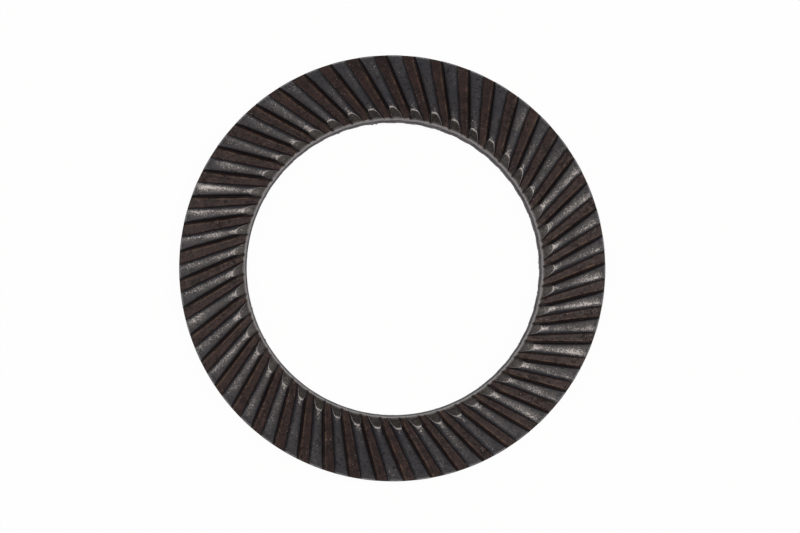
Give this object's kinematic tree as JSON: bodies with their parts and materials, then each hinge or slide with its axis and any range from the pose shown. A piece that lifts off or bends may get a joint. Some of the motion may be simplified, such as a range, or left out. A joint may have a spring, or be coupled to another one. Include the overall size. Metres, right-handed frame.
{
  "type": "serrated safety washer",
  "caption": "Dished round spring-steel washer with slanted ribs pressed into both faces, for locking a screw head.",
  "frame": {"origin": "on the axis of the bore, at the level that the washer stands on", "axes": "+Z along the bore axis, out of the domed face"},
  "size_m": [0.022, 0.022, 0.0018],
  "materials": {
    "spring_steel": "phosphated and oiled, worn bright on the crests"
  },
  "bodies": {
    "root": {"serrated_washer": "spring_steel"}
  },
  "joints": []
}
